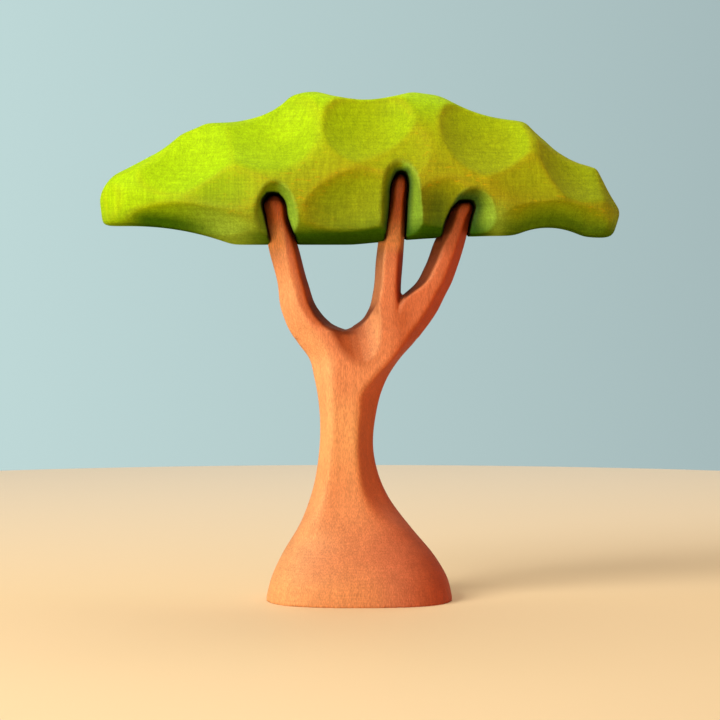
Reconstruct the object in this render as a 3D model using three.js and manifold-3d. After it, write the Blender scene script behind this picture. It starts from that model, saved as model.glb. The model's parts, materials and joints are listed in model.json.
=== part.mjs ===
// A toy acacia carved from wood: one brown-stained trunk that flares into its own foot and forks
// into three boughs, and one broad, flat-bottomed, green-stained crown that sits down over their
// tips. Every face of the crown is the mark of a round gouge, so the crown is made here the way
// the carver made it: a rounded blank, and one scoop of wood taken away for each mark.
//
// Millimetres, +Z up. The origin is the middle of the flat underside of the foot. The carver's
// front of the tree looks to -Y, with the wide window between the boughs left of its middle.

import * as THREE from 'three';
import { mergeVertices } from 'three/addons/utils/BufferGeometryUtils.js';
import Module from 'manifold-3d';

const wasm = await Module();
wasm.setup();

// Driving dimensions

const FORK_HEIGHT = 78; // floor of the wide window, where the trunk ends and the boughs begin
const JOINT_GAP = 0.3; // clearance where a bough meets the trunk or the next bough
const SLOT_GAP = 0.4; // level clearance at each side of a bough in its slot, taken up by glue
const TIP_GAP = 1.2; // dark space left above each bough's tip in its slot

const CROWN_HALF_LENGTH = 77; // of the blank, before its two ends are trimmed
const CROWN_HALF_THICKNESS = 17.5;
const CROWN_UNDERSIDE = 102.3;
const CROWN_RIM = 118; // height where the blank is thickest, and its sides turn in
const CROWN_END_HEIGHT = 111; // the blank's top slopes down to this at both ends
const CROWN_RISE = 36.5; // from there to the top of the blank

const RIM_DROP = 3; // the rim keeps this far below the top where the blank is low
const TOP_FALL = 0.6; // power of the top's long fall to the ends, 0.5 is round
const PLAN_FULLNESS = 2.6; // seen from above, how far the blank keeps its thickness
const PLAN_ROUNDNESS = 2.2; // and how roundly it then closes
const ROUND_EDGE = 1.6; // power of the blank's section above the rim, 2 is an ellipse
const SQUARE_EDGE = 2.2; // and below it, a little squarer

const FOOT_SQUARENESS = 3; // power of the trunk's section at the ground
const WAIST_SQUARENESS = 2.3; // and above its flare
const FLARE_SHARE = 1 / 3; // part of the trunk's height that the flare takes up
const BOUGH_FLAT = 0.45; // flat part of a bough's side, between its chamfers
const SLOT_FLAT = 0.9; // a slot's corners are almost square

const BARK_STAIN = { color: 0xcf7438, roughness: 0.55 };
const LEAF_STAIN = { color: 0xa9bd16, roughness: 0.65 };

// The trunk and the boughs, seen from the front: each row is a height, the left and the right
// edge there, and half the thickness from front to back.

const TRUNK = [
  [0, -27.2, 26.8, 20],
  [6, -25.7, 25.3, 18.8],
  [12, -23, 21.8, 16.4],
  [20, -18.5, 15.2, 13],
  [30, -14.2, 7.9, 10.2],
  [42, -11.9, 4, 9],
  [54, -11.7, 4.7, 8.8],
  [64, -13.2, 7.9, 8.8],
  [70, -14.9, 12, 8.8],
  [74, -17.9, 15.6, 8.7],
  [FORK_HEIGHT, -20.4, 18.7, 8.5],
];

const BOUGH_ROOT = FORK_HEIGHT + JOINT_GAP;

const BOUGHS = {
  left_bough: [
    [BOUGH_ROOT, -20.6, -6, 8.3],
    [80.5, -21.6, -9.2, 8.1],
    [84, -22.8, -12.2, 7.8],
    [91, -23.7, -14.9, 7.3],
    [103, -26.6, -18.2, 6.2],
    [110, -27.1, -20.7, 5.7],
    [116.5, -26.8, -23, 5],
  ],
  middle_bough: [
    [BOUGH_ROOT, -2.9, 8.4, 8.3],
    [80, -0.3, 10, 8.2],
    [83.2, 2.3, 11.2, 7.9],
    [89, 3.8, 11.8, 7.4],
    [98, 4.6, 12.4, 6.6],
    [104, 5.4, 12.8, 6.2],
    [114, 8.2, 13.3, 5.4],
    [122.5, 10.5, 13, 4.8],
  ],
  right_bough: [
    [BOUGH_ROOT, 8.7, 18.9, 8.3],
    [80, 10.3, 20.2, 8.2],
    [83.2, 11.5, 22.3, 7.9],
    [88.4, 12.9, 25, 7.5],
    [90.5, 15.6, 26, 7.3],
    [96, 18.7, 28.1, 6.8],
    [104, 21.8, 30.5, 6.2],
    [110, 25.1, 31.8, 5.7],
    [114.4, 27.7, 32.4, 5.2],
  ],
};

// One scoop of the gouge. It is a stretched ball that leaves its deepest mark at x, y, z. yaw and
// tilt say which way the mark faces, out of the wood: yaw 0 faces the front, tilt 90 faces up.
// turn leans the stroke of the gouge to one side. radius is the ball's, along is how much longer
// it is down the stroke, and deep how much deeper.

const scoop = (x, y, z, yaw, tilt, radius, { turn = 0, along = 1, deep = 1 } = {}) =>
  ({ x, y, z, yaw, tilt, radius, turn, along, deep });

// Broad scoops across the ridge give the crown its wavy top.
const RIDGE_SCOOPS = [
  scoop(-60.8, 0, 127.1, -65, 57, 42),
  scoop(-36, 0, 137.7, -50, 79, 28),
  scoop(1.2, 0, 143.8, 0, 89, 33),
  scoop(40.5, 0, 138.6, 50, 78, 44),
  scoop(58, 0, 128.3, 65, 59, 28),
];

// Flat scoops trim the two ends to a blunt edge, alike on the front and the back.
const END_SCOOPS = [
  scoop(-75.2, 0, 112, -60, -4, 40),
  scoop(72.6, 0, 116.9, 62, 27, 60),
  scoop(74.6, 0, 108.2, 62, -16, 60),
];

// The scoops of the front. The upper ones are deep and face the sky.
const FACE_SCOOPS = [
  scoop(-71.3, -6.8, 113.5, -42, 0, 45, { along: 1.2 }),
  scoop(-50.5, -10.7, 120.2, -12, 41, 27, { turn: 14, along: 1.5 }),
  scoop(-28.3, -9.5, 128.5, 0, 44, 26, { turn: -20, along: 1.5 }),
  scoop(2.3, -10, 131.3, 0, 38, 24, { turn: 8, along: 1.3 }),
  scoop(38, -10.7, 126.3, 3, 41, 25, { along: 1.7 }),
  scoop(63.7, -7.3, 117.1, 17, 42, 18.5, { along: 1.6 }),
  scoop(-35.5, -14.9, 117.5, -8, 2, 60),
  scoop(13.8, -13.1, 130, -6, 20, 40, { along: 2 }),
  scoop(49, -12.6, 120, 10, 12, 80),
  scoop(-53, -10.3, 110.2, -6, -36, 22, { turn: 98, along: 2.7 }),
  scoop(-3.6, -13, 112, 3, -12, 26, { turn: 34, along: 1.8 }),
  scoop(24.8, -13.6, 112, 0, -14, 17, { along: 1.8 }),
  scoop(57, -8.9, 110.4, 10, -34, 24, { turn: 88, along: 1.8 }),
];

// A tall notch opens the crown round each bough, on the front and on the back.
const NOTCH_SCOOPS = [
  scoop(-23.4, -9, 107, 0, -8, 6.5, { turn: -3, along: 2.2, deep: 1.35 }),
  scoop(11.7, -9, 109, 0, -6, 6.1, { turn: -2, along: 3.3, deep: 1.35 }),
  scoop(31.5, -9, 107, 0, -8, 7.7, { turn: 5, along: 1.6, deep: 1.15 }),
];

// The underside is rasped straight across from front to back: a place and the rasp's radius.
const UNDERSIDE_CUTS = [
  { x: -66, z: 107.9, radius: 80 },
  { x: 45, z: 105.1, radius: 400 },
  { x: 54.6, z: 107.5, radius: 20 },
];

// The back has the same strokes as the front, made from the other side, so they fall a little
// off: each slides along the crown by up to this much.
const HAND_DRIFT = 2.5;
const DRIFT_TURN = 2.4; // radians from one stroke's drift to the next one's

// Fineness of the faceted solids

const FACET = 6; // longest edge on a gouge mark
const RASP_FACET = 9; // and on the underside
const BLANK_SIDES = 32;
const BLANK_RINGS = 36;
const TRUNK_SIDES = 24;
const TRUNK_RINGS = 20;
const BOUGH_SIDES = 8;
const BOUGH_RINGS = 12;
const MERGE_DISTANCE = 1e-4;

// Solids

function solidFrom(geometry) {
  const bare = geometry.clone();
  bare.deleteAttribute('normal');
  bare.deleteAttribute('uv');
  const merged = mergeVertices(bare, MERGE_DISTANCE);
  return new wasm.Manifold(new wasm.Mesh({
    numProp: 3,
    vertProperties: new Float32Array(merged.attributes.position.array),
    triVerts: new Uint32Array(merged.index.array),
  }));
}

function geometryFrom(solid) {
  const { vertProperties, triVerts } = solid.getMesh();
  const geometry = new THREE.BufferGeometry();
  geometry.setAttribute('position', new THREE.BufferAttribute(vertProperties, 3));
  geometry.setIndex(new THREE.BufferAttribute(triVerts, 1));
  geometry.computeVertexNormals();
  return geometry;
}

// Moves every point of a three.js geometry to where place(point) puts it.
function reshape(geometry, place) {
  const position = geometry.attributes.position;
  const point = new THREE.Vector3();
  for (let i = 0; i < position.count; i += 1) {
    point.fromBufferAttribute(position, i);
    place(point);
    position.setXYZ(i, point.x, point.y, point.z);
  }
  return geometry;
}

const signedPower = (value, power) => Math.sign(value) * Math.abs(value) ** power;

// The trunk and the boughs

// A limb is an upright prism whose rings are set out, one by one, from its table of rows. The
// rings between two rows come from a smooth curve through all of them.
function limb(rows, { sides, rings, outline, grow = 0, thickness = null, tipGap = 0 }) {
  const heights = rows.map((row) => row[0]);
  const edges = rows.flatMap((row) => row.slice(1));
  const curve = new THREE.CubicInterpolant(heights, edges, 3, new Float32Array(3));
  const foot = heights[0];
  const rise = heights[heights.length - 1] - foot;
  const prism = new THREE.CylinderGeometry(1, 1, 1, sides, rings);
  prism.rotateX(Math.PI / 2);
  return reshape(prism, (point) => {
    const height = point.z + 0.5;
    const [left, right, halfThickness] = curve.evaluate(foot + rise * height);
    const round = outline(point.x, point.y, height);
    point.x = (left + right) / 2 + round.x * ((right - left) / 2 + grow);
    point.y = round.y * (thickness ?? halfThickness);
    point.z = foot + rise * height + (height === 1 ? tipGap : 0);
  });
}

// Rounded section, squarer at the foot than at the waist.
function trunkOutline(x, y, height) {
  const climb = Math.min(1, height / FLARE_SHARE);
  const squareness = THREE.MathUtils.lerp(FOOT_SQUARENESS, WAIST_SQUARENESS, climb);
  const length = Math.hypot(x, y) || 1;
  return {
    x: signedPower(x / length, 2 / squareness) * Math.min(1, length),
    y: signedPower(y / length, 2 / squareness) * Math.min(1, length),
  };
}

// Section with four flats and four knife-cut chamfers. The prism's eight corners lie on a circle,
// an eighth of a turn apart, and each is pushed out to the end of a flat.
const EIGHTH_TURN_HALF = THREE.MathUtils.degToRad(22.5);

function chamferedOutline(flat) {
  return (x, y) => {
    const turned = new THREE.Vector2(x, y).rotateAround(new THREE.Vector2(), EIGHTH_TURN_HALF);
    if (turned.length() < 0.5) return { x: 0, y: 0 };
    const wide = Math.abs(turned.x) > Math.abs(turned.y);
    return {
      x: Math.sign(turned.x) * (wide ? 1 : flat),
      y: Math.sign(turned.y) * (wide ? flat : 1),
    };
  };
}

function trunk() {
  return solidFrom(limb(TRUNK, { sides: TRUNK_SIDES, rings: TRUNK_RINGS, outline: trunkOutline }));
}

function bough(rows) {
  return solidFrom(limb(rows, {
    sides: BOUGH_SIDES,
    rings: BOUGH_RINGS,
    outline: chamferedOutline(BOUGH_FLAT),
  }));
}

// The slot that a bough slides into from below runs right through the crown, front to back.
function slot(rows) {
  return solidFrom(limb(rows, {
    sides: BOUGH_SIDES,
    rings: BOUGH_RINGS,
    outline: chamferedOutline(SLOT_FLAT),
    grow: SLOT_GAP,
    thickness: 2 * CROWN_HALF_THICKNESS,
    tipGap: TIP_GAP,
  }));
}

// The crown

function blankSection(along) {
  const u = Math.min(1, Math.abs(along));
  const top = CROWN_END_HEIGHT + CROWN_RISE * (1 - u ** 2) ** TOP_FALL;
  return {
    halfThickness: CROWN_HALF_THICKNESS * (1 - u ** PLAN_FULLNESS) ** (1 / PLAN_ROUNDNESS),
    top,
    rim: Math.min(CROWN_RIM, top - RIM_DROP),
  };
}

// A ball with its poles at the crown's two ends, drawn out to the shape of the blank.
function blank() {
  const ball = new THREE.SphereGeometry(1, BLANK_SIDES, BLANK_RINGS);
  ball.rotateZ(Math.PI / 2);
  return solidFrom(reshape(ball, (point) => {
    const { halfThickness, top, rim } = blankSection(point.x);
    const girth = Math.hypot(point.y, point.z) || 1;
    const power = point.z > 0 ? 2 / ROUND_EDGE : 2 / SQUARE_EDGE;
    const reach = point.z > 0 ? top - rim : rim - CROWN_UNDERSIDE;
    const depth = halfThickness * signedPower(point.y / girth, power);
    const climb = reach * signedPower(point.z / girth, power);
    point.set(CROWN_HALF_LENGTH * point.x, depth, rim + climb);
  }));
}

function scoopSolid({ x, y, z, yaw, tilt, turn, radius, along, deep }) {
  const ball = new THREE.SphereGeometry(
    1,
    Math.ceil((2 * Math.PI * radius) / FACET),
    Math.ceil((Math.PI * radius * along) / FACET),
  );
  ball.rotateX(Math.PI / 2);
  ball.scale(radius, radius * deep, radius * along);
  ball.translate(0, -radius * deep, 0);
  const [yawAngle, tiltAngle, turnAngle] = [yaw, tilt, turn].map(THREE.MathUtils.degToRad);
  const place = new THREE.Matrix4().makeRotationFromEuler(
    new THREE.Euler(-tiltAngle, turnAngle, yawAngle, 'ZXY'),
  );
  ball.applyMatrix4(place.setPosition(x, y, z));
  return solidFrom(ball);
}

function undersideSolid({ x, z, radius }) {
  const sides = Math.ceil((2 * Math.PI * radius) / RASP_FACET);
  const rasp = new THREE.CylinderGeometry(radius, radius, 4 * CROWN_HALF_THICKNESS, sides);
  rasp.translate(x, 0, z - radius);
  return solidFrom(rasp);
}

// The same stroke on the back: mirrored front to back, and slid by its drift.
function backScoop(mark, index) {
  return {
    ...mark,
    x: mark.x + HAND_DRIFT * Math.sin(DRIFT_TURN * (index + 1)),
    y: -mark.y,
    yaw: 180 - mark.yaw,
    turn: -mark.turn,
  };
}

function onBack(mark) {
  return { ...mark, y: -mark.y, yaw: 180 - mark.yaw, turn: -mark.turn };
}

function crown() {
  const scoops = [
    ...RIDGE_SCOOPS,
    ...END_SCOOPS,
    ...END_SCOOPS.map(onBack),
    ...FACE_SCOOPS,
    ...FACE_SCOOPS.map(backScoop),
    ...NOTCH_SCOOPS,
    ...NOTCH_SCOOPS.map(onBack),
  ];
  const tools = [
    ...scoops.map(scoopSolid),
    ...UNDERSIDE_CUTS.map(undersideSolid),
    ...Object.values(BOUGHS).map(slot),
  ];
  return tools.reduce((wood, tool) => wood.subtract(tool), blank());
}

// The tree

function wood(name, solid, stain) {
  const material = new THREE.MeshStandardMaterial({ ...stain, metalness: 0 });
  const mesh = new THREE.Mesh(geometryFrom(solid), material);
  mesh.name = name;
  return mesh;
}

const tree = new THREE.Group();
tree.name = 'carved_acacia';
tree.add(wood('trunk', trunk(), BARK_STAIN));
for (const [name, rows] of Object.entries(BOUGHS)) {
  tree.add(wood(name, bough(rows), BARK_STAIN));
}
tree.add(wood('crown', crown(), LEAF_STAIN));

export default tree;
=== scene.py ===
# %% [markdown]
# # A carved toy acacia
#
# The real object is a toy tree about 15 centimetres tall. A carver made it from two pieces of
# pale, close-grained wood. One piece is the trunk, with a foot that it stands on and three boughs.
# The other is the crown, a flat-topped block that sits down over the tips of the boughs.
# Both were cut with a gouge and a knife, sanded until the edges went soft, stained, and waxed.
#
# This lesson makes the two pieces the same way: a blank is cut with tools, the cuts are sanded,
# and stain goes on last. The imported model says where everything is, and it is loaded first.

# %% Load the frame
import json
from math import atan, ceil, degrees, pi, radians
from typing import NamedTuple

import bmesh
import bpy
import numpy as np
from mathutils import Matrix, Vector

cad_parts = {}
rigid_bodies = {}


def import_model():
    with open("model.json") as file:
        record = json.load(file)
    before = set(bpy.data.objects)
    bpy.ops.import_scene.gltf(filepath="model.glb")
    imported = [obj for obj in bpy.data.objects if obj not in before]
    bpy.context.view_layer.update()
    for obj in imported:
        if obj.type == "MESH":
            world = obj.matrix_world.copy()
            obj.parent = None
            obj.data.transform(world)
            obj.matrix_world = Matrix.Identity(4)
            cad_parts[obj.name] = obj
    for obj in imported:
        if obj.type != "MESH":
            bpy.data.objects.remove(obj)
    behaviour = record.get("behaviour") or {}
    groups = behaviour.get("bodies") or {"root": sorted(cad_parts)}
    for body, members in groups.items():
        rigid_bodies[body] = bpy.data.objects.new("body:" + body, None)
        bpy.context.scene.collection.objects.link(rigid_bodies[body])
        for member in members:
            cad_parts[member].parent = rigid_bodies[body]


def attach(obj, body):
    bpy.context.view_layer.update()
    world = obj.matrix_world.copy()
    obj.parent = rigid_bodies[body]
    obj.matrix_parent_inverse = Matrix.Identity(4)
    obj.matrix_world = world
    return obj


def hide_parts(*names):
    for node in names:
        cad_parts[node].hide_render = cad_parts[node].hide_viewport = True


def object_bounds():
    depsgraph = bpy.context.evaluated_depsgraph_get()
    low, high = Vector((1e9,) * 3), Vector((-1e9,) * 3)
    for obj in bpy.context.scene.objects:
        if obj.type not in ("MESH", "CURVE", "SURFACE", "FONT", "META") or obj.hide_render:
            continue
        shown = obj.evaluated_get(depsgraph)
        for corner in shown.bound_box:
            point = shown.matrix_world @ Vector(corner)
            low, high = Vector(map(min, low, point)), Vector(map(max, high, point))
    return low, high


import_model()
cad_low, cad_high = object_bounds()
cad_size = cad_high - cad_low
print("CAD box in metres:", [round(side, 4) for side in cad_size])

# %% [markdown]
# ## Working in millimetres
#
# A carver thinks in millimetres and Blender works in metres. Every shape below is worked out in
# millimetres as a plain array of points, and it is turned into metres at the one place where a
# mesh is made. A shape here is always a closed skin: a stack of rings with a cap at each end.

# %% One function that makes a closed skin from rings
MM = 0.001


def skin_from_rings(name, rings):
    """A closed mesh through a stack of rings, each an array of points in millimetres."""
    count, sides, _ = rings.shape
    ends = [rings[0].mean(axis=0), rings[-1].mean(axis=0)]
    points = np.vstack([rings.reshape(-1, 3), ends]) * MM
    first, last = count * sides, count * sides + 1
    top = (count - 1) * sides
    faces = []
    for side in range(sides):
        after = (side + 1) % sides
        faces.append((first, after, side))
        faces.append((last, top + side, top + after))
        for ring in range(count - 1):
            low, high = ring * sides, (ring + 1) * sides
            faces.append((low + side, low + after, high + after, high + side))
    mesh = bpy.data.meshes.new(name)
    mesh.from_pydata(points.tolist(), [], faces)
    mesh.validate()
    skin = bpy.data.objects.new(name, mesh)
    bpy.context.scene.collection.objects.link(skin)
    return skin


def unit_circle(sides):
    angle = np.linspace(0, 2 * pi, sides, endpoint=False)
    return np.stack([np.cos(angle), np.sin(angle)], axis=1)


# %% [markdown]
# ## The crown's blank
#
# Before any carving the crown is a long rounded block: thick in the middle, thin at both ends,
# flat underneath and domed on top. A subdivided cube could be pushed into that shape by hand. A
# formula is better here, because the same formula later tells how deep each cut went, and that
# depth decides where the stain is worn.

# %% The blank's section at each place along its length
CROWN_HALF_LENGTH = 77.0
CROWN_HALF_THICKNESS = 17.5
CROWN_UNDERSIDE = 102.3
CROWN_RIM = 118.0
CROWN_END_HEIGHT = 111.0
CROWN_RISE = 36.5
RIM_DROP = 3.0
TOP_FALL = 0.6
PLAN_FULLNESS = 2.6
PLAN_ROUNDNESS = 2.2
ROUND_EDGE = 1.6
SQUARE_EDGE = 2.2


def blank_section(x):
    """Half thickness, top and rim of the blank at each x."""
    share = np.clip(np.abs(x) / CROWN_HALF_LENGTH, 0, 1)
    top = CROWN_END_HEIGHT + CROWN_RISE * (1 - share**2) ** TOP_FALL
    half = CROWN_HALF_THICKNESS * (1 - share**PLAN_FULLNESS) ** (1 / PLAN_ROUNDNESS)
    return half, top, np.minimum(CROWN_RIM, top - RIM_DROP)


def signed_power(value, power):
    return np.sign(value) * np.abs(value) ** power


def blank_rings(count, sides):
    circle = unit_circle(sides)
    rings = []
    for turn in np.linspace(0, pi, count + 2)[1:-1]:
        x = -CROWN_HALF_LENGTH * np.cos(turn)
        half, top, rim = blank_section(x)
        above = circle[:, 1] > 0
        power = np.where(above, 2 / ROUND_EDGE, 2 / SQUARE_EDGE)
        reach = np.where(above, top - rim, rim - CROWN_UNDERSIDE)
        depth = half * signed_power(circle[:, 0], power)
        height = rim + reach * signed_power(circle[:, 1], power)
        rings.append(np.stack([np.full(sides, x), depth, height], axis=1))
    return np.array(rings)


crown = skin_from_rings("crown_carved", blank_rings(count=150, sides=144))
print("crown blank:", len(crown.data.polygons), "faces")

# %% [markdown]
# ## The gouge
#
# A gouge has a round edge, so each stroke leaves a hollow like the inside of a spoon. A stretched
# ball is the shape of one stroke. Each row below is one stroke: the deepest point that it leaves,
# the way the hollow faces, and the ball's radius. The strokes could be sculpted with a brush, but
# then the ridges between them would wander. Cutting with balls gives the crisp ridges that meet
# in points, which is what makes carved wood look carved.

# %% Every stroke on the crown


class Stroke(NamedTuple):
    x: float
    y: float
    z: float
    yaw: float  # degrees, 0 faces the front and 90 the right end
    tilt: float  # degrees, 90 faces up
    radius: float
    turn: float = 0.0  # degrees that the stroke leans to one side
    along: float = 1.0  # how much longer than wide the ball is
    deep: float = 1.0  # how much deeper than wide
    rubbed_over: bool = False  # the carver sanded the ridges round this one away


# Broad strokes across the ridge give the wavy top.
RIDGE_STROKES = [
    Stroke(-60.8, 0, 127.1, -65, 57, 42),
    Stroke(-48.5, 0, 135.6, -60, 65, 40),
    Stroke(-36, 0, 137.7, -50, 79, 28),
    Stroke(1.2, 0, 143.8, 0, 89, 33),
    Stroke(40.5, 0, 138.6, 50, 78, 44),
    Stroke(58, 0, 128.3, 65, 59, 28),
]
# Nearly flat ones trim both ends.
END_STROKES = [
    Stroke(-75.2, 0, 112, -60, -4, 40),
    Stroke(72.6, 0, 116.9, 62, 27, 60),
    Stroke(74.6, 0, 108.2, 62, -16, 60),
]
# Hollows run along the face in three rows: under the ridge, in the middle, and low down.
FACE_STROKES = [
    Stroke(-71.3, -6.8, 113.5, -42, 0, 45, along=1.2),
    Stroke(-50.5, -10.7, 120.2, -12, 41, 27, turn=14, along=1.5, rubbed_over=True),
    Stroke(-28.3, -9.5, 128.5, 0, 44, 26, turn=-20, along=1.5, rubbed_over=True),
    Stroke(2.3, -10, 131.3, 0, 38, 24, turn=8, along=1.3),
    Stroke(38, -10.7, 126.3, 3, 41, 25, along=1.7),
    Stroke(63.7, -7.3, 117.1, 17, 42, 18.5, along=1.6, rubbed_over=True),
    Stroke(-35.5, -14.9, 117.5, -8, 2, 60),
    Stroke(13.8, -13.1, 130, -6, 20, 40, along=2),
    Stroke(49, -12.6, 120, 10, 12, 80),
    Stroke(-53, -10.3, 110.2, -6, -36, 22, turn=98, along=2.7),
    Stroke(-3.6, -13, 112, 3, -12, 26, turn=34, along=1.8),
    Stroke(24.8, -13.6, 112, 0, -14, 17, along=1.8),
    Stroke(57, -8.9, 110.4, 10, -34, 24, turn=88, along=1.8),
]
# One notch goes in for each bough.
NOTCH_STROKES = [
    Stroke(-23.4, -9, 107, 0, -8, 6.5, turn=-3, along=2.2, deep=1.35),
    Stroke(11.7, -9, 109, 0, -6, 6.1, turn=-2, along=3.3, deep=1.35),
    Stroke(31.5, -9, 107, 0, -8, 7.7, turn=5, along=1.6, deep=1.15),
]
print(len(FACE_STROKES), "strokes on the crown's face")

# %% [markdown]
# The carver turned the block round and made the same strokes on the back. By hand they fall a
# little off, so each of the face's strokes slides along the crown. A mirror modifier would be
# simpler, but a back that repeats the front exactly looks like a machine's work.
#
# The cutting goes in two rounds. The first takes the ridge, the ends and the strokes whose edges
# were sanded away. The second takes the strokes that stay crisp, and the notches.

# %% The same strokes on the back, and the two rounds
HAND_DRIFT = 2.5  # millimetres that a stroke slides at most
DRIFT_TURN = 2.4  # radians between one slide and the next, so that no two are alike


def from_behind(stroke, drift=0.0):
    return stroke._replace(
        x=stroke.x + drift,
        y=-stroke.y,
        yaw=180 - stroke.yaw,
        turn=-stroke.turn,
    )


face_strokes = FACE_STROKES + [
    from_behind(stroke, HAND_DRIFT * np.sin(DRIFT_TURN * (number + 1)))
    for number, stroke in enumerate(FACE_STROKES)
]
notches = NOTCH_STROKES + [from_behind(stroke) for stroke in NOTCH_STROKES]
rough_strokes = RIDGE_STROKES + END_STROKES + [from_behind(stroke) for stroke in END_STROKES]
rough_strokes += [stroke for stroke in face_strokes if stroke.rubbed_over]
fine_strokes = [stroke for stroke in face_strokes if not stroke.rubbed_over] + notches
strokes = rough_strokes + fine_strokes
print(len(rough_strokes), "rough strokes and", len(fine_strokes), "fine ones")

# %% Turn each stroke into a ball of the right size and place
BALL_FACET = 2.5  # millimetres, fine enough that its flats vanish when sanded


def new_collection(name):
    collection = bpy.data.collections.new(name)
    bpy.context.scene.collection.children.link(collection)
    return collection


def move_to(piece, collection):
    bpy.context.scene.collection.objects.unlink(piece)
    collection.objects.link(piece)


rough_tools = new_collection("rough_tools")
fine_tools = new_collection("fine_tools")


def stroke_frame(stroke):
    """The ball's axes as columns (across, into the wood, along the stroke), sizes and centre."""
    turned = (
        Matrix.Rotation(radians(stroke.yaw), 3, "Z")
        @ Matrix.Rotation(radians(-stroke.tilt), 3, "X")
        @ Matrix.Rotation(radians(stroke.turn), 3, "Y")
    )
    axes = np.array(turned)
    sizes = stroke.radius * np.array([1, stroke.deep, stroke.along])
    return axes, sizes, np.array(stroke[:3]) - axes[:, 1] * sizes[1]


def add_ball(name, stroke, collection):
    axes, sizes, centre = stroke_frame(stroke)
    placed = np.eye(4)
    placed[:3, :3] = axes * sizes * MM
    placed[:3, 3] = centre * MM
    shape = bmesh.new()
    bmesh.ops.create_uvsphere(
        shape,
        u_segments=ceil(2 * pi * stroke.radius / BALL_FACET),
        v_segments=ceil(pi * stroke.radius * stroke.along / BALL_FACET),
        radius=1,
        matrix=Matrix(placed.tolist()),
    )
    mesh = bpy.data.meshes.new(name)
    shape.to_mesh(mesh)
    shape.free()
    collection.objects.link(bpy.data.objects.new(name, mesh))


for number, stroke in enumerate(strokes):
    tools = rough_tools if number < len(rough_strokes) else fine_tools
    add_ball(f"stroke_{number}", stroke, tools)

# %% [markdown]
# ## The flat underside
#
# The underside isn't gouged. A rasp went straight across it from front to back, so it is flat in
# that direction and waves gently along the length. A wide cylinder lying across the crown is the
# shape of one pass of the rasp.

# %% Lay the rasp's cylinders under the crown
RASP_PASSES = [(-66.0, 107.9, 80.0), (45.0, 105.1, 400.0), (54.6, 107.5, 20.0)]  # x, top, radius
RASP_SIDES_PER_MM = 0.8
RASP_FEWEST_SIDES = 96

for number, (x, height, radius) in enumerate(RASP_PASSES):
    sides = max(RASP_FEWEST_SIDES, ceil(RASP_SIDES_PER_MM * radius))
    circle = unit_circle(sides)
    across, up = x + radius * circle[:, 0], height - radius + radius * circle[:, 1]
    ring = np.stack([across, np.zeros(sides), up], axis=1)
    reach = np.array([0, 2 * CROWN_HALF_THICKNESS, 0])
    rasp = skin_from_rings(f"rasp_{number}", np.array([ring + reach, ring - reach]))
    move_to(rasp, rough_tools)
print(len(RASP_PASSES), "passes of the rasp")

# %% [markdown]
# ## The limbs
#
# The trunk and the boughs are upright limbs. Each is a table of heights, with the left edge, the
# right edge and half the thickness there, and then how wide the knife's flat is on its left and on
# its right corner. A smooth curve runs through the rows.
#
# The section of a limb is the space that all the knife's flats leave. Adding the flats up with a
# high power rounds the corners between them, as sandpaper does. With a low power and no corner
# flats the same formula gives the soft oval of the foot, so one function makes the whole trunk.

# %% The limbs' tables
FORK_HEIGHT = 78.0
TRUNK_TOP = FORK_HEIGHT - 0.4
ROOT_DEPTH = 2.5  # the boughs reach this far into the trunk, so that they fuse

TRUNK = [
    (0, -27.2, 26.8, 20, 9, 9),
    (6, -25.7, 25.3, 18.8, 8, 8.5),
    (12, -23, 21.8, 16.4, 6.5, 8),
    (20, -18.5, 15.2, 13, 4.5, 7.5),
    (30, -14.2, 7.9, 10.2, 3.5, 6.4),
    (42, -11.9, 4, 9, 3.1, 4.6),
    (54, -11.7, 4.7, 8.8, 3.4, 4.9),
    (60, -12.4, 6.2, 8.8, 4, 5.5),
    (64, -13.2, 7.9, 8.8, 4.8, 3.9),
    (70, -14.9, 12, 8.8, 6.5, 2.4),
    (74, -17.9, 15.6, 8.7, 7.5, 3.2),
    (TRUNK_TOP, -20.2, 18.4, 8.5, 7.5, 3.6),
]
LEFT_BOUGH = [
    (FORK_HEIGHT - ROOT_DEPTH, -19, -1.5, 8.4, 7.5, 2.6),
    (FORK_HEIGHT, -20.5, -4.4, 8.3, 7.2, 2.6),
    (79, -21, -7.2, 8.2, 6.6, 2.4),
    (80.5, -21.6, -9.2, 8.1, 6.2, 2.2),
    (84, -22.8, -12.2, 7.8, 5.5, 1.8),
    (91, -23.7, -14.9, 7.3, 5.2, 1.4),
    (103, -26.6, -18.2, 6.2, 4.6, 1.2),
    (110, -27.1, -20.7, 5.7, 3.2, 1.1),
    (115.4, -27.1, -22.1, 5.1, 1.8, 0.9),
    (116.5, -26.2, -23.1, 4.5, 1.4, 0.8),
]
MIDDLE_BOUGH = [
    (FORK_HEIGHT - ROOT_DEPTH, -5.5, 12, 8.4, 2.2, 0.6),
    (FORK_HEIGHT, -3.8, 12, 8.3, 2.2, 0.6),
    (79, -1.9, 12, 8.25, 2.2, 0.7),
    (80.5, 0.3, 12, 8.2, 2.1, 0.8),
    (83.2, 2.2, 12, 7.9, 2, 1),
    (89, 3.8, 11.8, 7.4, 2, 1.2),
    (98, 4.6, 12.4, 6.6, 2, 1.4),
    (104, 5.4, 12.8, 6.2, 2, 1.3),
    (114, 8.2, 13.3, 5.4, 1.6, 1.1),
    (121.5, 9.9, 13.3, 4.9, 0.9, 0.7),
    (122.5, 10.5, 12.9, 4.3, 0.7, 0.6),
]
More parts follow.
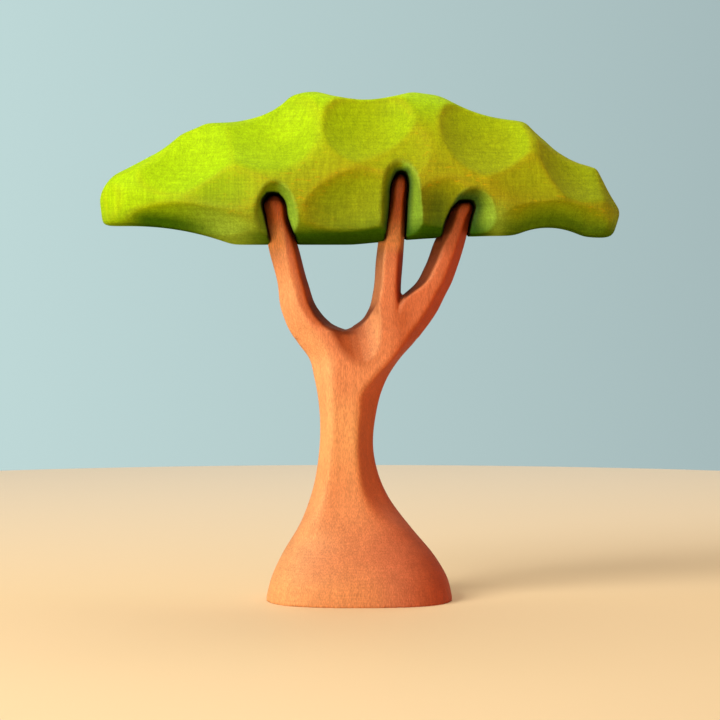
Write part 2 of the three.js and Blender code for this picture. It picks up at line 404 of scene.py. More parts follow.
RIGHT_BOUGH = [
    (FORK_HEIGHT - ROOT_DEPTH, 6, 16.8, 8.4, 0.6, 3.6),
    (FORK_HEIGHT, 7, 18.7, 8.3, 0.6, 3.6),
    (80, 8, 20.2, 8.2, 0.8, 3.5),
    (83.2, 9.8, 22.3, 7.9, 1, 3.4),
    (87.2, 11.6, 24.3, 7.6, 1.5, 3.2),
    (88.6, 13.2, 25, 7.5, 2, 3.2),
    (90.5, 15.4, 26, 7.3, 2.6, 3),
    (96, 18.7, 28.1, 6.8, 3, 2.7),
    (104, 21.8, 30.5, 6.2, 3, 2.3),
    (110, 25.1, 31.8, 5.7, 2.6, 1.6),
    (113.4, 27, 32.5, 5.3, 1.4, 1),
    (114.4, 28, 32.1, 4.7, 1.1, 0.9),
]


class Bough(NamedTuple):
    rows: list
    lap: float  # millimetres that the crown's edge laps over its left side
    # A bough's shade is how far below its tip the painted shade round it reaches.
    shade: float  # millimetres below its tip that the dark line round it reaches

    @property
    def tip(self):
        return self.rows[-1][0]


BOUGHS = {
    "left": Bough(LEFT_BOUGH, lap=0.9, shade=0.8),
    "middle": Bough(MIDDLE_BOUGH, lap=1.9, shade=2.4),
    "right": Bough(RIGHT_BOUGH, lap=1.7, shade=1.1),
}
print("heights of the tips:", [bough.tip for bough in BOUGHS.values()])

# %% A smooth curve through a limb's rows, and the section that the knife leaves
SIDE_FLAT = 0.35  # share of the half thickness that the side's own flat takes up
SHARP = 24.0  # power that adds up the knife's flats on the limbs
SOFT = 2.7  # and at the foot, where sandpaper took the corners away
FLARE = (14.0, 34.0)  # heights between which the foot's oval turns into the knife's flats


def smooth_rows(rows, heights):
    """The rows' other columns at each height, on a smooth curve through them."""
    table = np.array(rows, float)
    knots, values = table[:, 0], table[:, 1:]
    slopes = np.gradient(values, knots, axis=0)
    i = np.clip(np.searchsorted(knots, heights) - 1, 0, len(knots) - 2)
    step = (knots[i + 1] - knots[i])[:, None]
    t = (heights - knots[i])[:, None] / step
    start = (1 + 2 * t) * (1 - t) ** 2 * values[i] + t * (1 - t) ** 2 * step * slopes[i]
    end = t**2 * (3 - 2 * t) * values[i + 1] - t**2 * (1 - t) * step * slopes[i + 1]
    return start + end


def ease(value, start, end):
    """A smooth step from 0 at start to 1 at end, which may be the lower one of the two."""
    t = np.clip((value - start) / (end - start), 0, 1)
    return t * t * (3 - 2 * t)


def limb_section(half_width, half_depth, left_flat, right_flat, knife, circle):
    """One section round 0, 0. knife is 0 for the foot's oval and 1 for knife flats."""
    power = SOFT + (SHARP - SOFT) * knife**2
    total = np.zeros(len(circle))
    flats = [((1, 0), half_width, 1), ((-1, 0), half_width, 1)]
    flats += [((0, 1), half_depth, 1), ((0, -1), half_depth, 1)]
    rise = half_depth * (1 - SIDE_FLAT)
    for side, flat in ((-1, left_flat), (1, right_flat)):
        for face in (-1, 1):
            facing = np.array([side * rise, face * flat])
            facing = facing / np.hypot(*facing)
            corner = np.array([side * half_width, face * SIDE_FLAT * half_depth])
            flats.append((facing, facing @ corner, knife))
    for facing, distance, weight in flats:
        total += weight * np.maximum(0, circle @ np.array(facing) / distance) ** power
    section = circle * (total ** (-1 / power))[:, None]
    return section * (half_width, half_depth) / np.abs(section).max(axis=0)


def limb_rings(rows, spacing=0.8, sides=96):
    circle = unit_circle(sides)
    heights = np.linspace(rows[0][0], rows[-1][0], ceil((rows[-1][0] - rows[0][0]) / spacing))
    rings = []
    for height, row in zip(heights, smooth_rows(rows, heights)):
        left, right, half_depth, left_flat, right_flat = row
        knife = ease(height, *FLARE)
        section = limb_section((right - left) / 2, half_depth, left_flat, right_flat, knife, circle)
        section[:, 0] += (left + right) / 2
        rings.append(np.column_stack([section, np.full(sides, height)]))
    return np.array(rings)


trunk = skin_from_rings("trunk_carved", limb_rings(TRUNK))
limbs = new_collection("limbs")
for name, bough in BOUGHS.items():
    move_to(skin_from_rings(f"{name}_limb", limb_rings(bough.rows)), limbs)

# %% [markdown]
# Where the boughs part, the carver ran the gouge down from the fork. It leaves a shallow valley
# in front, and another behind, between the left bough and the other two. A round file, pushed
# through from front to back, then cleaned up the bottom of the fork.

# %% The strokes below the fork
VALLEY = Stroke(-0.5, -6.5, 75.5, 0, 17, 10.5, turn=-14, along=3.4)
ROUND_FILE = Stroke(-4.2, 0, 77.8, 0, 90, 3.2, along=6)
fork_tools = new_collection("fork_tools")
valleys = [VALLEY, from_behind(VALLEY)]
for number, stroke in enumerate([*valleys, ROUND_FILE]):
    add_ball(f"fork_stroke_{number}", stroke, fork_tools)

# %% [markdown]
# ## Slots for the tips
#
# The crown sits down over the three tips. Each tip stands in a tight pocket, and a wider opening
# in front of it, and behind, lets the tip be seen in its notch with a dark gap round it. On the
# left the crown's edge laps a little over the bough, which hides its corner. The pocket and the
# openings follow the bough's own table, so they always fit it.

# %% Cut the pockets and the openings from the boughs' tables
POCKET_GAP = -0.2  # millimetres: the tips are glued in, and no light comes through
OPENING_GAP = 0.3
TIP_GAP = 0.5
TIP_CORNER = 0.8  # millimetres that the slot's corners slope in above the tip
SLOT_FOOT = 96.0  # height below the crown where the slot's tools start
SLOT_RINGS = 24
LAP_END = 4.0  # millimetres below the tip where the crown no longer laps over the bough
OPENING_OVERLAP = 3.6  # how far an opening reaches in past the bough's face, so that it is dark


def lap_over(bough, height, gap):
    """How far the crown's edge comes in over a bough's left side, from its slot's own edge."""
    return (bough.lap + gap) * ease(height, bough.tip - LAP_END, CROWN_UNDERSIDE)


def slot_rings(bough, gap, tip_gap, low_y, high_y):
    """Square rings round a bough's outline, from low_y to high_y, with tip_gap above its tip."""
    heights = np.linspace(SLOT_FOOT, bough.tip, SLOT_RINGS)
    sides = []
    for height, (left, right, *_) in zip(heights, smooth_rows(bough.rows, heights)):
        sides.append((left - gap + lap_over(bough, height, gap), right + gap, height))
    low, high, _ = sides[-1]
    sides.append((low + TIP_CORNER, high - TIP_CORNER, bough.tip + tip_gap))
    rings = []
    for low, high, height in sides:
        corners = [(low, low_y), (high, low_y), (high, high_y), (low, high_y)]
        rings.append([(x, y, height) for x, y in corners])
    return np.array(rings)


for name, bough in BOUGHS.items():
    tip_half_depth = bough.rows[-1][3]
    through = 2 * CROWN_HALF_THICKNESS
    inner = tip_half_depth - OPENING_OVERLAP
    shapes = {
        "pocket": slot_rings(bough._replace(lap=0), POCKET_GAP, POCKET_GAP, -inner, inner),
        "front": slot_rings(bough, OPENING_GAP, TIP_GAP, -through, -inner),
        "back": slot_rings(bough, OPENING_GAP, TIP_GAP, inner, through),
    }
    for kind, rings in shapes.items():
        move_to(skin_from_rings(f"{name}_{kind}", rings), fine_tools)

# %% [markdown]
# ## Cutting and sanding
#
# Three modifiers do the bench work. A Boolean takes every tool's shape away in one go. Remesh
# lays an even skin of small squares over the result, which is what makes the next step work. Then
# Smooth does what sandpaper does: it softens the ridges and leaves the hollows nearly as they are.
# A bevel could soften the ridges too, but it fails where several ridges meet in a point.
#
# The crown is worked twice. After the first round it gets a coarse skin and many passes of the
# sandpaper, so those ridges end up broad and round. After the second it gets a fine skin and few
# passes, which keeps the later edges and the notches crisp. The squares are chosen so that each
# finished piece has fewer than 200,000 triangles.

# %% Cut, remesh, sand, and keep only the finished mesh
PRESSURE = 0.5  # how far one pass moves a point towards the middle of its neighbours


def work(piece, grit, passes, joining=None, cutting=None):
    """Joins and cuts piece with collections of tools, then sands it. grit is in millimetres."""
    steps = [("UNION", joining), ("DIFFERENCE", cutting)]
    steps = [(operation, collection) for operation, collection in steps if collection]
    for operation, collection in steps:
        step = piece.modifiers.new(operation.lower(), "BOOLEAN")
        step.operation = operation
        step.operand_type = "COLLECTION"
        step.collection = collection
        step.solver = "MANIFOLD"
    skin = piece.modifiers.new("skin", "REMESH")
    skin.mode = "VOXEL"
    skin.voxel_size = grit * MM
    sand = piece.modifiers.new("sand", "SMOOTH")
    sand.factor = PRESSURE
    sand.iterations = passes
    depsgraph = bpy.context.evaluated_depsgraph_get()
    finished = bpy.data.meshes.new_from_object(piece.evaluated_get(depsgraph))
    piece.modifiers.clear()
    piece.data = finished
    for _, collection in steps:
        for tool in list(collection.objects):
            bpy.data.objects.remove(tool)
        bpy.data.collections.remove(collection)
    triangles = sum(len(face.vertices) - 2 for face in finished.polygons)
    print(piece.name, triangles, "triangles after sanding")


work(crown, grit=0.8, passes=36, cutting=rough_tools)
work(crown, grit=0.49, passes=10, cutting=fine_tools)
work(trunk, grit=0.44, passes=3, joining=limbs, cutting=fork_tools)

# %% [markdown]
# ## Where cloth and sandpaper touched, and where light and shade are painted
#
# Stain doesn't lie evenly on a carved thing. It is rubbed thin on what stands proud, and it
# gathers in the hollows. Light and shade are painted in as well: darker in the notches, under
# the crown and in the gaps round the tips, and lighter on the walls that face the key. Each of
# these is a number that can be worked out for every point of the mesh, because the strokes are
# known. The numbers are kept on the mesh as attributes, and the stain's material reads them.
# They could be painted on by hand, but then every change to a stroke would mean painting again.
#
# Most of the numbers are products of smooth steps and humps. Each cell first names where they lie:
# a step's pair is where it is 0 and where it is 1, and a hump's pair is its middle and its width.
# Places are in millimetres, and the way that a face looks is a share of looking straight up, down,
# left or right.

# %% Read a mesh's points and normals, and keep a number for each point


def points_of(piece):
    flat = np.empty(3 * len(piece.data.vertices))
    piece.data.vertices.foreach_get("co", flat)
    return flat.reshape(-1, 3) / MM


def normals_of(piece):
    flat = np.empty(3 * len(piece.data.vertices), np.float32)
    piece.data.vertex_normals.foreach_get("vector", flat)
    return flat.reshape(-1, 3)


def keep_attribute(piece, name, values):
    attribute = piece.data.attributes.new(name, "FLOAT", "POINT")
    attribute.data.foreach_set("value", np.asarray(values, np.float32))
    print(f"{piece.name} {name}: mean {np.mean(values):.2f}")


def hump(value, middle, width):
    """1 at the middle, and about a third at one width to either side of it."""
    return np.exp(-(((value - middle) / width) ** 2))


# %% How far points are from the strokes, the blank, the boughs and the underside
LEAST_HALF = 0.1  # millimetres, so that nothing is divided by zero at the crown's ends


def distance_to(stroke, points):
    """How far each point is outside a stroke's ball, in millimetres, nearly."""
    axes, sizes, centre = stroke_frame(stroke)
    local = (points - centre) @ axes / sizes
    reach = np.linalg.norm(local, axis=1)
    return (reach - 1) * reach / np.linalg.norm(local / sizes, axis=1)


def depth_below_blank(points):
    """How much wood was cut away above each point of the crown, in millimetres, nearly."""
    half, top, rim = blank_section(points[:, 0])
    above = points[:, 2] > rim
    power = np.where(above, ROUND_EDGE, SQUARE_EDGE)
    reach = np.where(above, top - rim, rim - CROWN_UNDERSIDE)
    across = np.abs(points[:, 1]) / np.maximum(half, LEAST_HALF)
    climb = np.abs(points[:, 2] - rim) / reach
    share = (across**power + climb**power) ** (1 / power)
    return (1 - share) * np.hypot(points[:, 1], points[:, 2] - rim)


def edges_of(bough, height):
    """A bough's left and right edges, and how far the crown laps over the left one."""
    rows = smooth_rows(bough.rows, np.clip(height, bough.rows[0][0], bough.tip))
    return rows[:, 0], rows[:, 1], lap_over(bough, height, OPENING_GAP)


def distance_to_boughs(points):
    """How far each point is outside the part of a bough that its opening shows, from the front."""
    x, _, height = points.T
    outside = np.full(len(points), np.inf)
    for bough in BOUGHS.values():
        left, right, lap = edges_of(bough, height)
        sideways = np.maximum(left + lap - x, x - right)
        above = np.maximum(height - bough.tip, 0)
        outside = np.minimum(outside, np.hypot(np.maximum(sideways, 0), above))
    return outside


def underside_at(x):
    """Height of the rasped underside of the crown at each x."""
    heights = [np.full(len(x), CROWN_UNDERSIDE)]
    for middle_x, top, radius in RASP_PASSES:
        arch = np.sqrt(np.maximum(radius**2 - (x - middle_x) ** 2, 0))
        heights.append(top - radius + arch)
    return np.max(heights, axis=0)


# %% The crown's ridges, and the faces that the cloth rubbed
RIDGE_WIDTH = 0.7
CLOTH_DEPTH = (2.6, 0.2)  # below the blank
SIDE_FACES = (0.6, 0.15)  # looking up
YELLOWER_RIGHT = (-68, 5)
OFF_BOTTOM = (2, 11)  # above the underside

crown_points = points_of(crown)
crown_x, crown_y, crown_height = crown_points.T
crown_normals = normals_of(crown)
crown_left, crown_up = -crown_normals[:, 0], crown_normals[:, 2]
to_strokes = np.array([np.abs(distance_to(stroke, crown_points)) for stroke in strokes])
depth = depth_below_blank(crown_points)
# Two cuts meet in a ridge, so there the second nearest one is close by as well.
nearest = np.sort(np.vstack([to_strokes, np.abs(depth)]), axis=0)
keep_attribute(crown, "ridge", hump(nearest[1], 0, RIDGE_WIDTH))
above_under = crown_height - underside_at(crown_x)
off_bottom = ease(above_under, *OFF_BOTTOM)
uncut = ease(depth, *CLOTH_DEPTH) * ease(crown_up, *SIDE_FACES)
keep_attribute(crown, "proud", uncut * ease(crown_x, *YELLOWER_RIGHT) * off_bottom)

# %% Where the crown gets a warm olive of painted shade, and where it is bright
OLIVE_RIGHT = (-45, 20)
RIGHT_END, LESS_AT_END = (45, 76), 0.25
CREST, CREST_FACES = (132, 143), (0.3, 0.8)  # height, and looking up
LEFT_FACES, LESS_ON_LEFT = (0, 0.5), 0.5  # looking left
OLIVE_AT_BOTTOM = 0.3
LEFT_END = (-25, -72)
BRIGHT_HEIGHT = 136.0  # where the brightest green begins
BRIGHT_DROP = 22.0  # how much lower it begins at the left end

# Painted shade: a warm olive on the right, less on faces that look up or left, towards the key.
off_end = 1 - LESS_AT_END * ease(crown_x, *RIGHT_END)
off_crest = 1 - ease(crown_height, *CREST) * ease(crown_up, *CREST_FACES)
off_left_faces = 1 - LESS_ON_LEFT * ease(crown_left, *LEFT_FACES)
olive = ease(crown_x, *OLIVE_RIGHT) * off_end * off_crest * off_left_faces
olive *= OLIVE_AT_BOTTOM + (1 - OLIVE_AT_BOTTOM) * off_bottom
keep_attribute(crown, "warm_shade", olive)
bright_from = BRIGHT_HEIGHT - BRIGHT_DROP * ease(crown_x, *LEFT_END)
keep_attribute(crown, "height", ease(crown_height, CROWN_UNDERSIDE, bright_from))

# %% The notches' walls in painted light and shade, pooled stain and shade, and the gap shade
WALL = (1.2, 0.3)  # from the notch's own surface
LIT_WALL = (-0.1, 0.5)  # looking left
POOL_PLACES = (-20, 12, 30)  # along the crown, one for each bough
POOL_WIDTHS = (0.8, 2, 4.2)  # from the bough, at those places
POOL = (1, 0.15)  # share of the pool's width
GAP_SHADE = (0.45, 0.1)  # from the bough
SLOT_WALL = (0.3, 0.9)  # past the notch's own surface
SLOT_REACH = (1, 0.5)  # from the bough
GAP_SHADE_HEIGHT = (CROWN_UNDERSIDE + 0.5, CROWN_UNDERSIDE + 2)

in_notch = np.array([distance_to(stroke, crown_points) for stroke in notches]).min(axis=0)
wall = ease(np.abs(in_notch), *WALL)
# Painted light on the notch walls that look left, towards the key, and painted shade on the rest.
lit = ease(crown_left, *LIT_WALL)
keep_attribute(crown, "lit_notch_wall", wall * lit)
keep_attribute(crown, "shaded_notch_wall", wall * (1 - lit))
to_bough = distance_to_boughs(crown_points)
# Darker green near each bough in its notch: partly stain that pooled there, partly painted shade.
pool_width = np.interp(crown_x, POOL_PLACES, POOL_WIDTHS)
keep_attribute(crown, "pooled_stain_and_shade", wall * ease(to_bough / pool_width, *POOL))
# Painted shade: near black in the gaps round each tip and on the slot's walls behind them.
in_slot = ease(in_notch, *SLOT_WALL) * ease(to_bough, *SLOT_REACH)
gap_shade = np.maximum(ease(to_bough, *GAP_SHADE), in_slot)
keep_attribute(crown, "gap_shade", gap_shade * ease(crown_height, *GAP_SHADE_HEIGHT))

# %% The low edge's dark green, stain and painted shade, and the unwaxed underside's painted shade
GREEN_PLACES = (-20, 4, 28)
GREEN_CLIMBS = (6, 8, 6)  # above the underside, at those places
GREEN = (1, 0.08)  # share of that climb
LOOKING_DOWN, GREENER_BELOW = (0.1, 0.9), 0.3
GREEN_LEFT_END = (-72, -60)
LEFT_RUB = (-37, 9)
RIGHT_RUB, RIGHT_RUB_STRENGTH = (39, 3), 0.8
RUB_CLIMB = (12, 4)  # above the underside
RUBBED_OFF_EDGE, RUBBED_OFF_UNDERSIDE = 0.85, 0.75  # shares of the dark green
PAST_BOUGHS, LESS_PAST_BOUGHS = (32, 44), 0.25
STRAIGHT_DOWN = (0.75, 0.97)
UNWAXED = (0.15, 0.6)  # looking down
WEB = (21.5, 6)  # the wood between the middle and the right notch
WEB_HEIGHT = (121, 113)

# Darker green low on the crown: partly a darker stain near the underside, partly painted shade on
# faces that look down.
climb = np.interp(crown_x, GREEN_PLACES, GREEN_CLIMBS)
low_down = ease(above_under / climb, *GREEN)
low_down += GREENER_BELOW * ease(-crown_up, *LOOKING_DOWN)
low_down = np.clip(low_down, 0, 1) * ease(crown_x, *GREEN_LEFT_END)
low_down *= 1 - LESS_PAST_BOUGHS * ease(crown_x, *PAST_BOUGHS)
rubbed = np.maximum(hump(crown_x, *LEFT_RUB), RIGHT_RUB_STRENGTH * hump(crown_x, *RIGHT_RUB))
keep_attribute(crown, "rubbed", rubbed * ease(above_under, *RUB_CLIMB))
keep_attribute(crown, "low_stain_and_shade", low_down * (1 - RUBBED_OFF_EDGE * rubbed))
# Painted shade: darker green on faces that look straight down.
under = ease(-crown_up, *STRAIGHT_DOWN) * (1 - RUBBED_OFF_UNDERSIDE * rubbed)
keep_attribute(crown, "under", under)
keep_attribute(crown, "unwaxed", ease(-crown_up, *UNWAXED))
# Painted shade on the wood between the middle and the right notch.
web = hump(crown_x, *WEB) * ease(crown_height, *WEB_HEIGHT)
keep_attribute(crown, "between", web * (crown_y < 0))

# %% [markdown]
# ## Set the trunk flat on the ground
#
# Remeshing and sanding leave the foot's underside a hair uneven. The carver rubs it flat on a
# sheet of sandpaper, and so does this cell: whatever is near the ground is put on it. A Boolean
# with a big block would do the same, but it would leave long thin faces at the rim.

# %% Rub the underside flat
RUBBED_OFF = 0.25

trunk_points = points_of(trunk)
underside = trunk_points[:, 2] < RUBBED_OFF
trunk_points[underside, 2] = 0
trunk.data.vertices.foreach_set("co", (trunk_points * MM).ravel())
trunk.data.update()
print("underside points:", int(underside.sum()))

# %% [markdown]
# ## Where the brown stain lies, and where light and shade are painted
#
# On the trunk the colour is redder on the right and below the boughs, partly a heavier stain and
# partly painted shade, and the end of each fibre drank more of it than the sides did. The inner
# faces of the fork are painted dark brown, as shade. The middle of the trunk and the left of the
# foot are golden.

# %% The trunk's sides in painted light and shade, and the red patches
END_GRAIN = (0.35, 0.95)  # looking up or down
RIGHTWARD = (-0.75, 0.6)  # looking right
SHADED = (0.25, 0.85)  # looking right
RIGHT_SIDE, RIGHT_SIDE_HEIGHT = (4, 17), (58, 74)
LEFT_SIDE, LEFT_SIDE_HEIGHT, LEFT_SIDE_RED = (-6, -12), (84, 102), 0.4
RIGHT_FLARE, RIGHT_FLARE_HEIGHT = (2, 20), (34, 10)
FORK_BOTTOM, FORK_TOP, FORK_RED = (66, 76), (104, 94), 0.3  # heights, and strength
WAIST = (46, 17)
BLUSH, BLUSH_HEIGHT = (11, 8), (34, 22)
FOOT, FOOT_HEIGHT = (16, 4), (15, 2)

trunk_x, _, height = trunk_points.T
to_right, to_back, to_top = normals_of(trunk).T
keep_attribute(trunk, "endgrain", ease(np.abs(to_top), *END_GRAIN))
# Painted light and shade: golden on faces that look left, towards the key, and red on faces that
# look right, away from it.
keep_attribute(trunk, "lit_to_shaded", ease(to_right, *RIGHTWARD))
keep_attribute(trunk, "shaded", ease(to_right, *SHADED))
# Partly a heavier stain, partly painted shade: redder on the right, and below and beside the crown.
red_stain_and_shade = ease(trunk_x, *RIGHT_SIDE) * ease(height, *RIGHT_SIDE_HEIGHT)
red_stain_and_shade += LEFT_SIDE_RED * ease(trunk_x, *LEFT_SIDE) * ease(height, *LEFT_SIDE_HEIGHT)
red_stain_and_shade += ease(trunk_x, *RIGHT_FLARE) * ease(height, *RIGHT_FLARE_HEIGHT)
red_stain_and_shade += FORK_RED * ease(height, *FORK_BOTTOM) * ease(height, *FORK_TOP)
keep_attribute(trunk, "red_stain_and_shade", np.clip(red_stain_and_shade, 0, 1))
keep_attribute(trunk, "waist", hump(height, *WAIST))
keep_attribute(trunk, "blush", hump(trunk_x, *BLUSH) * ease(height, *BLUSH_HEIGHT))
keep_attribute(trunk, "foot", ease(trunk_x, *FOOT) * ease(height, *FOOT_HEIGHT))
flare_low, flare_high = FLARE
keep_attribute(trunk, "flare", ease(height, flare_high, flare_low))

# %% The dark faces in the fork, in painted shade
CROTCH_FLOOR = (74, 78)  # height
CROTCH_FLOOR_FACES = (0.15, 0.5)  # looking up
CROTCH_RIM, CROTCH_RIM_HEIGHT = (-4, 3.6), (75.6, 77.2)
LEFT_OF_FORK = 6.0  # where the left crotch ends
# The flat under the right bough, cut from the left: its heights and its widths there.
RIGHT_FLAT_HEIGHTS = (88, 92, 96, 101, 106, 110)
RIGHT_FLAT_WIDTHS = (2, 2.8, 2.9, 3, 3.8, 2.5)
RIGHT_FLAT_EDGE = (0.2, -0.8)
RIGHT_FLAT_HEIGHT = (84, 87.5)
RIGHT_FLAT_START = (12.4, 13.4)
RIGHT_FLAT_TURN = 0.3  # looking back: faces beyond this aren't part of the flat
RIGHT_CROTCH, RIGHT_CROTCH_DARK = (95, 88), 0.6  # height, and strength
RIGHT_FLAT_TOP, LESS_AT_TOP = (98, 106), 0.35

# Painted shade: dark brown on the crotch floor, on the valley's rim and on the flat under the right
# bough.
left_crotch = ease(height, *CROTCH_FLOOR) * ease(to_top, *CROTCH_FLOOR_FACES)
left_crotch *= trunk_x < LEFT_OF_FORK
crotch_rim = hump(trunk_x, *CROTCH_RIM) * ease(height, *CROTCH_RIM_HEIGHT)
right_bough_left, _, _ = edges_of(BOUGHS["right"], height)
flat = np.interp(height, RIGHT_FLAT_HEIGHTS, RIGHT_FLAT_WIDTHS)
under_right = ease(trunk_x - right_bough_left - flat, *RIGHT_FLAT_EDGE)
under_right *= ease(height, *RIGHT_FLAT_HEIGHT) * ease(trunk_x, *RIGHT_FLAT_START)
under_right *= to_back < RIGHT_FLAT_TURN
right_crotch = RIGHT_CROTCH_DARK * under_right * ease(height, *RIGHT_CROTCH)
under_right *= 1 - LESS_AT_TOP * ease(height, *RIGHT_FLAT_TOP)
keep_attribute(trunk, "inner", np.max([left_crotch, under_right, crotch_rim], axis=0))

# %% Shade painted beside the fork, stain and shade in its hollow, light and shade on the boughs
INNER_SIDE_ACROSS, INNER_SIDE_HEIGHT = (0, 3), (79, 84)
INNER_SIDE_FACES = (0.35, 0.75)  # looking left
BAND_HEIGHTS = (80, 86, 95, 102, 110)
BAND_WIDTHS = (5, 4.6, 4.4, 3.6, 1.6)
BAND_EDGE = (0.4, -0.8)
BAND_START = (77, 80)  # height
RIGHT_BAND, RIGHT_BAND_HEIGHT = (12, 2.8), (81, 5)
VALLEY_SKIN = (1.2, 0.1)  # from the valleys' own surface
VALLEY_RIGHT, LESS_IN_VALLEY = (-4, 5), 0.8
GAP_BOTTOM, GAP_TOP = (99, 103), (115, 108)  # heights just under the crown
MIDDLE_RIGHT_EDGE = 13.0
GAP_RIGHT_EDGE = 16.0
TIPS = (104, 111)  # height
RIGHT_TIP, LESS_ON_RIGHT_TIP = (16, 22), 0.35

# Painted shade: darker on the middle and right boughs' faces that look left, where the crown and
# the left bough shade them.
shaded_inner_side = ease(trunk_x, *INNER_SIDE_ACROSS) * (trunk_x < MIDDLE_RIGHT_EDGE)
shaded_inner_side *= ease(height, *INNER_SIDE_HEIGHT) * ease(-to_right, *INNER_SIDE_FACES)
keep_attribute(trunk, "shaded_inner_side", shaded_inner_side)
# Painted shade: a dark band on the left bough's face that looks right, and in the crotch under the
# right bough.
_, left_bough_right, _ = edges_of(BOUGHS["left"], height)
band = np.interp(height, BAND_HEIGHTS, BAND_WIDTHS)
in_band = ease(left_bough_right - trunk_x - band, *BAND_EDGE)
in_band *= (trunk_x < 0) * ease(height, *BAND_START)
right_band = hump(trunk_x, *RIGHT_BAND) * hump(height, *RIGHT_BAND_HEIGHT)
keep_attribute(trunk, "fork_shade", np.clip(in_band + right_band, 0, 1))
# Darker in the valleys below the fork, most on the left: partly stain that gathered there, partly
# painted shade.
to_valley = np.min([np.abs(distance_to(stroke, trunk_points)) for stroke in valleys], axis=0)
off_valley = 1 - LESS_IN_VALLEY * ease(trunk_x, *VALLEY_RIGHT)
keep_attribute(trunk, "hollow_stain_and_shade", ease(to_valley, *VALLEY_SKIN) * off_valley)
# Painted light: the boughs just under the crown are painted lighter, where the crown shades them.
lit_under_crown = ease(height, *GAP_BOTTOM) * ease(height, *GAP_TOP) * (trunk_x < GAP_RIGHT_EDGE)
keep_attribute(trunk, "lit_under_crown", lit_under_crown * (1 - in_band))
off_right_tip = 1 - LESS_ON_RIGHT_TIP * ease(trunk_x, *RIGHT_TIP)
keep_attribute(trunk, "tips", ease(height, *TIPS) * off_right_tip)

# %% The painted shade where each bough goes in under the crown
LINE = (0.55, 0.15)  # from the crown's lapping edge
LINE_HEIGHT = (CROWN_UNDERSIDE, CROWN_UNDERSIDE + 2)
NEAR_BOUGH = 1.0  # beyond its edges, a point belongs to another bough


def gap_shade_line(points):
    """1 along the painted shade where a bough goes in under the crown's edge, and round its tip."""
    x, _, point_height = points.T
    line = np.zeros(len(points))
    for bough in BOUGHS.values():
        left, right, lap = edges_of(bough, point_height)
        near_left = ease(x - (left - OPENING_GAP + lap), *LINE)
        near_tip = ease(bough.tip - point_height, bough.shade, 0)
        mine = (x > left - NEAR_BOUGH) & (x < right + NEAR_BOUGH)
        line = np.maximum(line, np.maximum(near_left, near_tip) * mine)
    return line * ease(point_height, *LINE_HEIGHT)


# Painted shade: near black where each bough goes in under the crown, round its tip, and in the
# crotch under the right bough.
keep_attribute(trunk, "gap_shade", np.maximum(gap_shade_line(trunk_points), right_crotch))

# %% [markdown]
# ## Colours
#
# Colours are written as they look on a screen, in hex. Light adds up in linear values, so one
# function turns the one into the other.

# %% From a hex colour to a linear one, and one function that adds a node


def linear(hex_colour):
    channels = [int(hex_colour[i : i + 2], 16) / 255 for i in (1, 3, 5)]
    rgb = [c / 12.92 if c <= 0.04045 else ((c + 0.055) / 1.055) ** 2.4 for c in channels]
    return (*rgb, 1.0)


def add(tree, kind, inputs=None, **settings):
    """Adds one node. inputs gives each socket a value, or another node's socket to link."""
    node = tree.nodes.new(kind)
    for name, value in settings.items():
        setattr(node, name, value)
    for socket, value in (inputs or {}).items():
        if isinstance(value, bpy.types.NodeSocket):
            tree.links.new(value, node.inputs[socket])
        else:
            node.inputs[socket].default_value = value
    return node


def new_material(name):
    material = bpy.data.materials.new(name)
    material.use_nodes = True
    return material, material.node_tree, material.node_tree.nodes["Principled BSDF"]


# %% [markdown]
# ## The grain of limewood under stain
#
# Limewood is pale and has almost no figure, so what shows is the stain, and how the fibres take
# it. Water in the stain raises them, which leaves a fine pebbled grain all over, and sandpaper
# leaves its own marks across it. A photo of wood could be laid over the tree, but it would stretch
# on the carved faces. Noise in three dimensions runs through the whole block, as real grain does.
#
# Each grain below is a noise that is stretched to a real size. The fibres themselves are 0.1 mm
# wide, too fine to show from where the camera stands, so the pebbles are drawn 0.45 mm wide.

# %% Grains of real sizes, in millimetres across, into the wood, and up
GRAINS = {
    "pebbles": (0.45, 0.45, 0.5),  # fibres that the water raised
    "fibres": (0.24, 0.24, 1.3),  # short dark flecks along the grain
    "bands": (1.3, 1.3, 30.0),  # a year's growth
    "scratches": (5.0, 5.0, 0.4),  # from sandpaper that went round the foot
    "threads": (0.5, 0.5, 9.0),  # raised fibres that run on
    "rows": (9.0, 9.0, 0.5),  # from sandpaper that went along the crown
    "specks": (2.2, 2.2, 0.7),  # spots where the cloth rubbed through
    "clouds": (18.0, 18.0, 18.0),  # uneven soaking
}
NOISE_DETAIL = 2.0
NOISE_ROUGHNESS = 0.55
NOISE_LOW, NOISE_HIGH = 0.3, 0.7  # where nearly all of a noise's values lie


def add_grains(tree, names):
    """One noise for each grain, as a dictionary of sockets whose values run from 0 to 1."""
    place = add(tree, "ShaderNodeTexCoord").outputs["Object"]
    sockets = {}
    for name in names:
        scaled = add(tree, "ShaderNodeMapping", {
            "Vector": place, "Scale": [1 / (side * MM) for side in GRAINS[name]],
        }).outputs["Vector"]
        noise = add(tree, "ShaderNodeTexNoise", {
            "Vector": scaled, "Scale": 1.0, "Detail": NOISE_DETAIL, "Roughness": NOISE_ROUGHNESS,
        }).outputs["Fac"]
        sockets[name] = add(tree, "ShaderNodeMapRange", {
            "Value": noise, "From Min": NOISE_LOW, "From Max": NOISE_HIGH,
        }).outputs["Result"]
    return sockets


def read_attributes(tree, piece):
    """A socket for each number that is kept on a piece's points."""
    sockets = {}
    for kept in piece.data.attributes:
        if kept.data_type == "FLOAT":
            node = add(tree, "ShaderNodeAttribute", attribute_name=kept.name)
            sockets[kept.name] = node.outputs["Fac"]
    return sockets


